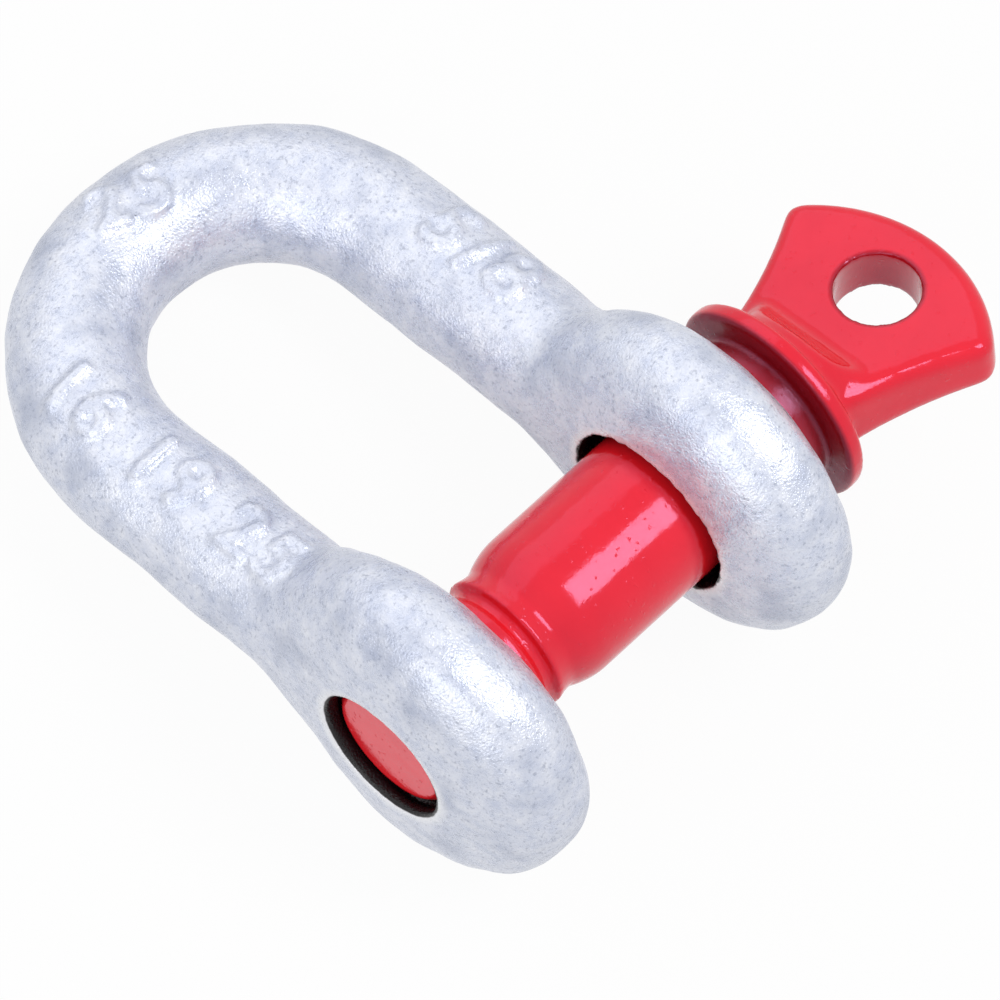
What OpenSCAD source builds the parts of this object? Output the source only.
// Screw-pin dee shackle for joining chain: one forged bow and one forged screw pin.
// The pin's axis is X and the middle of the jaw is the origin. The crown lies towards +Y.
// The shackle lies as it comes to rest on a table: on the rims of both eyes and on its crown.

/* [Bow] */
// Diameter of the bow's round bar
bar_d = 16; // [14:0.5:18]
// Clear width between the two arms at the crown
inside_w = 25.5; // [22:0.5:32]
// Distance from the pin's axis to the centre of the crown's bend
arm_len = 46; // [40:1:60]
// Radius of the hollow where an arm spreads into its eye
neck_r = 5; // [3:0.5:9]

/* [Eyes] */
// Outside diameter of each eye
eye_d = 42; // [38:0.5:46]
// Thickness of each eye at its middle
eye_t = 16.3; // [14:0.1:20]
// Part of that thickness on the jaw's side of the widest rim
jaw_side_t = 8.7; // [7:0.1:10]
// Clear gap between the middles of the two eyes
jaw_w = 25.2; // [22:0.2:32]
// Fullness of an eye inside the jaw: 2 is an ellipse, and more is squarer
jaw_fullness = 2.4; // [2:0.1:3]
// Fullness of an eye's outer face
outer_fullness = 2.9; // [2:0.1:4]
// How far the end of the threaded eye leans in towards the jaw
toe_in = 1.6; // [0:0.1:2]
// Chamfer round the mouth of the threaded hole
mouth_chamfer = 0.3; // [0.2:0.1:1]

/* [Screw pin] */
// Diameter of the pin's shank, which carries the load
shank_d = 18.6; // [17.5:0.1:19.5]
// Outside diameter of the pin's threaded end
thread_d = 16; // [15:0.1:16.6]
// Length over which the rounded shoulder falls from the shank to the waist
shoulder_len = 4.6; // [3:0.1:6]
// Diameter of the waist between the shoulder and the lip
waist_d = 16.3; // [15:0.1:16.6]
// Length over which the waist flares out to the lip
flare_len = 2.2; // [1.5:0.1:3]
// Diameter of the lip that stops the pin against the threaded eye
lip_d = 17; // [16.8:0.1:17.4]
// Thickness of the lip's edge
lip_t = 0.4; // [0.3:0.1:0.8]
// Width of the groove where the thread runs out under the lip
relief_w = 1.8; // [1.4:0.1:2.4]
// Depth of that groove below the thread's outside
relief_depth = 0.6; // [0.3:0.1:0.7]
// Chamfer on the pin's tip
tip_chamfer = 1; // [0.5:0.1:1.5]
// How far the tip stands back from the middle of the threaded eye's outer face
tip_recess = 1.8; // [0.5:0.1:4]

/* [Head of the pin] */
// Diameter of the collar
collar_d = 25.8; // [24:0.2:30]
// Thickness of the collar
collar_t = 2.3; // [2:0.1:4]
// Diameter of the neck between collar and tab
neck_d = 17.8; // [17:0.1:20]
// Length of the neck above the collar
neck_len = 2.7; // [2.4:0.1:5]
// Length over which the neck is pressed down to the faces of the tab
neck_fall = 4.2; // [3:0.1:5]
// Depth of the hollow in that slope
neck_hollow = 0.8; // [0.3:0.1:1.2]
// Length from the collar's seat to the end of the tab
head_len = 27.6; // [25:0.2:32]
// Width of the tab where it leaves the neck
tab_root_w = 18.3; // [16:0.1:20]
// Angle at which each side of the tab flares out
tab_flare = 22.5; // [15:0.5:28]
// Depth of the hollow in each side of the tab
tab_hollow = 0.5; // [0.1:0.1:1]
// Radius of the tab's rounded end
tab_end_r = 20.5; // [18:0.5:26]
// Radius of the tab's two corners
tab_corner_r = 2.2; // [1.8:0.1:3.5]
// Thickness of the tab at its end
tab_tip_t = 6.4; // [5.5:0.1:8]
// Thickness of the tab at the neck
tab_root_t = 9; // [7:0.1:10]
// Rounding of the tab's edges
tab_edge_r = 1.5; // [1:0.1:2]
// Diameter of the hole in the tab, for a bar or a wire
head_hole_d = 9.8; // [8:0.1:12]
// Distance from the collar's seat to the middle of that hole
head_hole_x = 17.8; // [15:0.1:19]
// Angle by which that hole leans from square to the tab
head_hole_lean = 8; // [0:1:12]

/* [Fits and places] */
// Clearance round the shank in the plain eye
shank_clearance = 1.1; // [0.5:0.1:1.5]
// Clearance round the threaded end in its eye
thread_clearance = 0.15; // [0.1:0.05:0.3]
// How far the pin is unscrewed from its home
backed_out = 3.4; // [0.5:0.1:6]
// Gap that the collar keeps from the plain eye when the pin is screwed home
collar_clearance = 0.6; // [0.2:0.1:1.5]
// Gap that the lip keeps from the threaded eye when the pin is screwed home
lip_clearance = 0.2; // [0.1:0.05:1]
// Turn of the tab about the pin's axis, measured from the plane of the bow
pin_turn = -5; // [-45:1:45]

/* [Hidden] */
$fn = 96;

bar_r = bar_d / 2;
eye_r = eye_d / 2;
shank_r = shank_d / 2;
thread_r = thread_d / 2;
waist_r = waist_d / 2;
lip_r = lip_d / 2;
collar_r = collar_d / 2;
neck_half = neck_d / 2;
crown_r = inside_w / 2 + bar_r;
eye_x = jaw_w / 2 + jaw_side_t;
plain_hole_r = shank_r + shank_clearance;
thread_hole_r = thread_r + thread_clearance;

// Lying on a table, the bow slopes down from its wide eyes to its thinner crown
rest_tilt = asin((eye_r - bar_r) / (arm_len + crown_r));

// Height of an eye's rounded face above its widest rim, at a distance from the middle of the face
function face_rise(height, fullness, distance) =
    height * pow(1 - pow(min(1, distance / eye_r), fullness), 1 / fullness);
function jaw_rise(distance) = face_rise(jaw_side_t, jaw_fullness, distance);
function outer_rise(distance) = face_rise(eye_t - jaw_side_t, outer_fullness, distance);

// How far the threaded eye leans in, at a distance y from the pin's axis
function lean(y) = toe_in * pow(max(0, -y) / eye_r, 2);

// Places along the pin, from the middle of the jaw
eye_face_x = jaw_w / 2 + eye_t;
collar_x = eye_x + outer_rise(plain_hole_r) + backed_out + collar_clearance;
lip_x = -(eye_x - jaw_rise(lip_r) - lean(-lip_r)) + backed_out + lip_clearance;
tip_x = -(eye_face_x - tip_recess);

// The hollow of the neck touches the eye's rim and runs out along the bar
hollow_y = sqrt(pow(eye_r + neck_r, 2) - pow(bar_r + neck_r, 2));
hollow_start_y = hollow_y * eye_r / (eye_r + neck_r);

// Half height of the forging above its middle plane, at a distance y from the pin's axis
function half_height(y) =
    y < hollow_start_y ? sqrt(max(0, eye_r * eye_r - y * y)) :
    y < hollow_y ? bar_r + neck_r - sqrt(max(0, neck_r * neck_r - pow(y - hollow_y, 2))) :
    bar_r;

// Share of the arm's round section in the eye's section, growing from near the pin's axis to the bar
share_start_y = hollow_y / 5;
function arm_share(y) =
    let (t = min(1, max(0, (y - share_start_y) / (hollow_y - share_start_y))))
    t * t * (3 - 2 * t);

bow_sides = 44;
eye_steps = 13;
neck_steps = 14;
crown_steps = 22;
rim_start_angle = 4;

// Sections of one arm, from the end of its eye to the start of the bend
arm_stations = concat(
    [for (i = [0:eye_steps]) -eye_r * cos(rim_start_angle + (90 - rim_start_angle) * i / eye_steps)],
    [for (i = [1:neck_steps]) hollow_y * i / neck_steps],
    [arm_len]
);

// Section of an arm: each point is how far out from the arm's line and how far up it lies
function arm_section(y) = [
    for (k = [0:bow_sides - 1])
        let (
            angle = 360 * k / bow_sides,
            up = half_height(y) * sin(angle),
            share = arm_share(y),
            distance = norm([y, up]),
            out_eye = cos(angle) < 0 ? -jaw_rise(distance) : outer_rise(distance),
            line = (1 - share) * eye_x + share * crown_r
        )
        [line + (1 - share) * out_eye + share * bar_r * cos(angle), up]
];

function plain_arm_ring(y) = [for (p = arm_section(y)) [p[0], y, p[1]]];
function threaded_arm_ring(y) = [for (p = arm_section(y)) [lean(y) - p[0], y, p[1]]];

function crown_ring(bend) = [
    for (k = [0:bow_sides - 1])
        let (
            angle = 360 * k / bow_sides,
            reach = crown_r + bar_r * cos(angle)
        )
        [reach * cos(bend), arm_len + reach * sin(bend), bar_r * sin(angle)]
];

function reversed(list) = [for (i = [len(list) - 1:-1:0]) list[i]];
function joined(lists) = [for (list = lists) for (item = list) item];
function after_first(list) = [for (i = [1:len(list) - 1]) list[i]];

bow_rings = concat(
    [for (y = arm_stations) threaded_arm_ring(y)],
    [for (i = [crown_steps - 1:-1:1]) crown_ring(180 * i / crown_steps)],
    [for (y = reversed(arm_stations)) plain_arm_ring(y)]
);

// Order in which a ring's points are met when going to and fro across it
function to_and_fro(i, sides) = i % 2 == 0 ? i / 2 : sides - (i + 1) / 2;

// Skin over a row of closed rings, with its two ends closed flat by strips that run to and fro
module skin(rings) {
    sides = len(rings[0]);
    last = len(rings) - 1;
    walls = [
        for (i = [0:last - 1])
            for (k = [0:sides - 1])
                let (
                    next = (k + 1) % sides,
                    here = i * sides,
                    there = here + sides
                )
                [[here + k, there + k, there + next], [here + k, there + next, here + next]]
    ];
    ends = [
        for (i = [0:sides - 3])
            let (
                a = to_and_fro(i, sides),
                b = to_and_fro(i + 1 + (i + 1) % 2, sides),
                c = to_and_fro(i + 1 + i % 2, sides)
            )
            [[a, b, c], [last * sides + c, last * sides + b, last * sides + a]]
    ];
    polyhedron(joined(rings), concat(joined(walls), joined(ends)), convexity = 6);
}

// Points on an arc about a centre, from one angle to another
function arc(centre, radius, from, to, steps) = [
    for (i = [0:steps])
        let (angle = from + (to - from) * i / steps)
        centre + radius * [cos(angle), sin(angle)]
];

// Turns a solid built upwards so that it lies along the pin's axis
module along_pin() {
    rotate([0, 90, 0]) children();
}

// Lays the bow down as it rests on a table
module laid() {
    rotate([-rest_tilt, 0, 0]) children();
}

// A drill long enough to run right through one eye
drill_len = 2 * eye_t;

module plain_hole() {
    translate([eye_x, 0, 0])
        along_pin()
            cylinder(h = drill_len, r = plain_hole_r, center = true);
}

// The threaded hole, with a chamfer at its outer mouth
module threaded_hole() {
    mouth_x = eye_x + outer_rise(thread_hole_r);
    translate([-eye_x, 0, 0])
        along_pin()
            cylinder(h = drill_len, r = thread_hole_r, center = true);
    translate([-mouth_x - mouth_chamfer, 0, 0])
        along_pin()
            cylinder(h = 2 * mouth_chamfer, r1 = thread_hole_r + 2 * mouth_chamfer, r2 = thread_hole_r);
}

module shackle_bow() {
    color("silver")
        difference() {
            laid() skin(bow_rings);
            plain_hole();
            threaded_hole();
        }
}

// Radius of an arc with a given half chord and height
function arc_radius(half_chord, height) = (pow(half_chord, 2) + pow(height, 2)) / (2 * height);

// The shoulder is a rounded fall, the waist flares in a hollow curve, and the groove is round
waist_x = lip_x + lip_t + flare_len;
shoulder_arc_r = arc_radius(shoulder_len, shank_r - waist_r);
shoulder_angle = asin(shoulder_len / shoulder_arc_r);
flare_arc_r = arc_radius(flare_len, lip_r - waist_r);
flare_angle = asin(flare_len / flare_arc_r);
relief_arc_r = arc_radius(relief_w / 2, relief_depth);
relief_angle = asin(relief_w / 2 / relief_arc_r);
relief_centre = [thread_r - relief_depth + relief_arc_r, lip_x - relief_w / 2];

// The collar's rim has rounded edges, and the neck runs into the collar in a fillet
rim_share = 0.3;
rim_end_angle = 80;
collar_edge_r = rim_share * collar_t;
collar_top_x = collar_x + collar_t;
neck_fillet = min(neck_len, collar_r - collar_edge_r - neck_half);
neck_top_x = collar_top_x + neck_len;
neck_end_x = neck_top_x + neck_fall;

// Half section of the turned part of the pin, as distance from the axis and place along it
pin_profile = concat(
    [[0, tip_x], [thread_r - tip_chamfer, tip_x], [thread_r, tip_x + tip_chamfer]],
    arc(relief_centre, relief_arc_r, 180 + relief_angle, 180 - relief_angle, 6),
    [[lip_r, lip_x]],
    arc([waist_r + flare_arc_r, waist_x], flare_arc_r, 180 + flare_angle, 180, 6),
    after_first(arc(
        [shank_r - shoulder_arc_r, waist_x + shoulder_len], shoulder_arc_r, -shoulder_angle, 0, 8)),
    [[shank_r, collar_x]],
    arc([collar_r - collar_edge_r, collar_x + collar_edge_r], collar_edge_r, -90, 0, 6),
    arc([collar_r - collar_edge_r, collar_top_x - collar_edge_r], collar_edge_r, 0, rim_end_angle, 6),
    arc([neck_half + neck_fillet, collar_top_x + neck_fillet], neck_fillet, 270, 180, 8),
    [[neck_half, neck_end_x], [0, neck_end_x]]
);

// The tab's outline: hollow flaring sides, rounded corners and a round end
tab_root_x = collar_x + collar_t / 2;
tab_end_x = collar_x + head_len;
tab_end_centre = [tab_end_x - tab_end_r, 0];
side_start = [neck_top_x, tab_root_w / 2];
side_way = [cos(tab_flare), sin(tab_flare)];
side_in = [sin(tab_flare), -cos(tab_flare)];
corner_from = side_start + tab_corner_r * side_in - tab_end_centre;
corner_along = corner_from * side_way;
corner_run = -corner_along
    + sqrt(pow(corner_along, 2) - corner_from * corner_from + pow(tab_end_r - tab_corner_r, 2));
corner_centre = tab_end_centre + corner_from + corner_run * side_way;
end_angle = atan2(corner_centre[1], corner_centre[0] - tab_end_centre[0]);
root_half = side_start[1] - (side_start[0] - tab_root_x) * tan(tab_flare);

side_steps = 6;
end_steps = 8;
tab_upper = concat(
    [[tab_root_x, root_half]],
    [for (i = [0:side_steps - 1])
        let (share = i / side_steps)
        side_start + corner_run * share * side_way + 4 * tab_hollow * share * (1 - share) * side_in],
    arc(corner_centre, tab_corner_r, 90 + tab_flare, end_angle, 6),
    arc(tab_end_centre, tab_end_r, end_angle * (1 - 1 / end_steps), end_angle / end_steps, end_steps - 2)
);
tab_outline = concat(
    tab_upper,
    [tab_end_centre + [tab_end_r, 0]],
    [for (p = reversed(tab_upper)) [p[0], -p[1]]]
);

// Half thickness of the tab, thinning from the neck to the end
function tab_half(x) =
    let (share = (x - neck_top_x) / (tab_end_x - neck_top_x))
    (tab_root_t + (tab_tip_t - tab_root_t) * share) / 2;

// Slope that is pressed into each side of the neck, from just above the round to just below the tab's face
press_margin = 0.3;
fall_start = [neck_top_x, neck_half + press_margin];
fall_end = [neck_end_x, tab_half(neck_end_x) - press_margin];
fall_way = fall_end - fall_start;
fall_r = arc_radius(norm(fall_way) / 2, neck_hollow);
fall_half_angle = asin(norm(fall_way) / 2 / fall_r);
fall_facing = atan2(fall_way[1], fall_way[0]) - 90;
fall_centre = (fall_start + fall_end) / 2
    - (fall_r - neck_hollow) * [cos(fall_facing), sin(fall_facing)];
pressed_away = concat(
    arc(fall_centre, fall_r, fall_facing - fall_half_angle, fall_facing + fall_half_angle, 8),
    [fall_end + [neck_fall, 0], [fall_end[0] + neck_fall, neck_d], [fall_start[0], neck_d]]
);

module neck_hollows() {
    for (turn = [0, 180])
        rotate([90 + turn, 0, 0])
            linear_extrude(height = 2 * neck_d, center = true)
                polygon(pressed_away);
}

// Point of the outline moved inwards, square to the outline there
function inset_point(i, inset) =
    let (
        count = len(tab_outline),
        before = tab_outline[(i + count - 1) % count],
        after = tab_outline[(i + 1) % count],
        way = (after - before) / norm(after - before)
    )
    tab_outline[i] + inset * [way[1], -way[0]];

// Outline of the tab at one level of its rounded edge, from 0 at its side to 90 at its face
function tab_ring(face, edge_angle) = [
    for (i = [0:len(tab_outline) - 1])
        let (
            p = inset_point(i, tab_edge_r * (1 - cos(edge_angle))),
            height = tab_half(p[0]) - tab_edge_r + tab_edge_r * sin(edge_angle)
        )
        [p[0], p[1], face * height]
];

edge_steps = 4;
tab_rings = concat(
    [for (i = [edge_steps:-1:0]) tab_ring(1, 90 * i / edge_steps)],
    [for (i = [0:edge_steps]) tab_ring(-1, 90 * i / edge_steps)]
);

module head_hole() {
    translate([collar_x + head_hole_x, 0, 0])
        rotate([head_hole_lean, 0, 0])
            cylinder(h = 2 * tab_root_t, d = head_hole_d, center = true);
}

module screw_pin() {
    color("crimson")
        laid()
            rotate([pin_turn, 0, 0])
                difference() {
                    union() {
                        difference() {
                            along_pin() rotate_extrude() polygon(pin_profile);
                            neck_hollows();
                        }
                        skin(tab_rings);
                    }
                    head_hole();
                }
}

shackle_bow();
screw_pin();
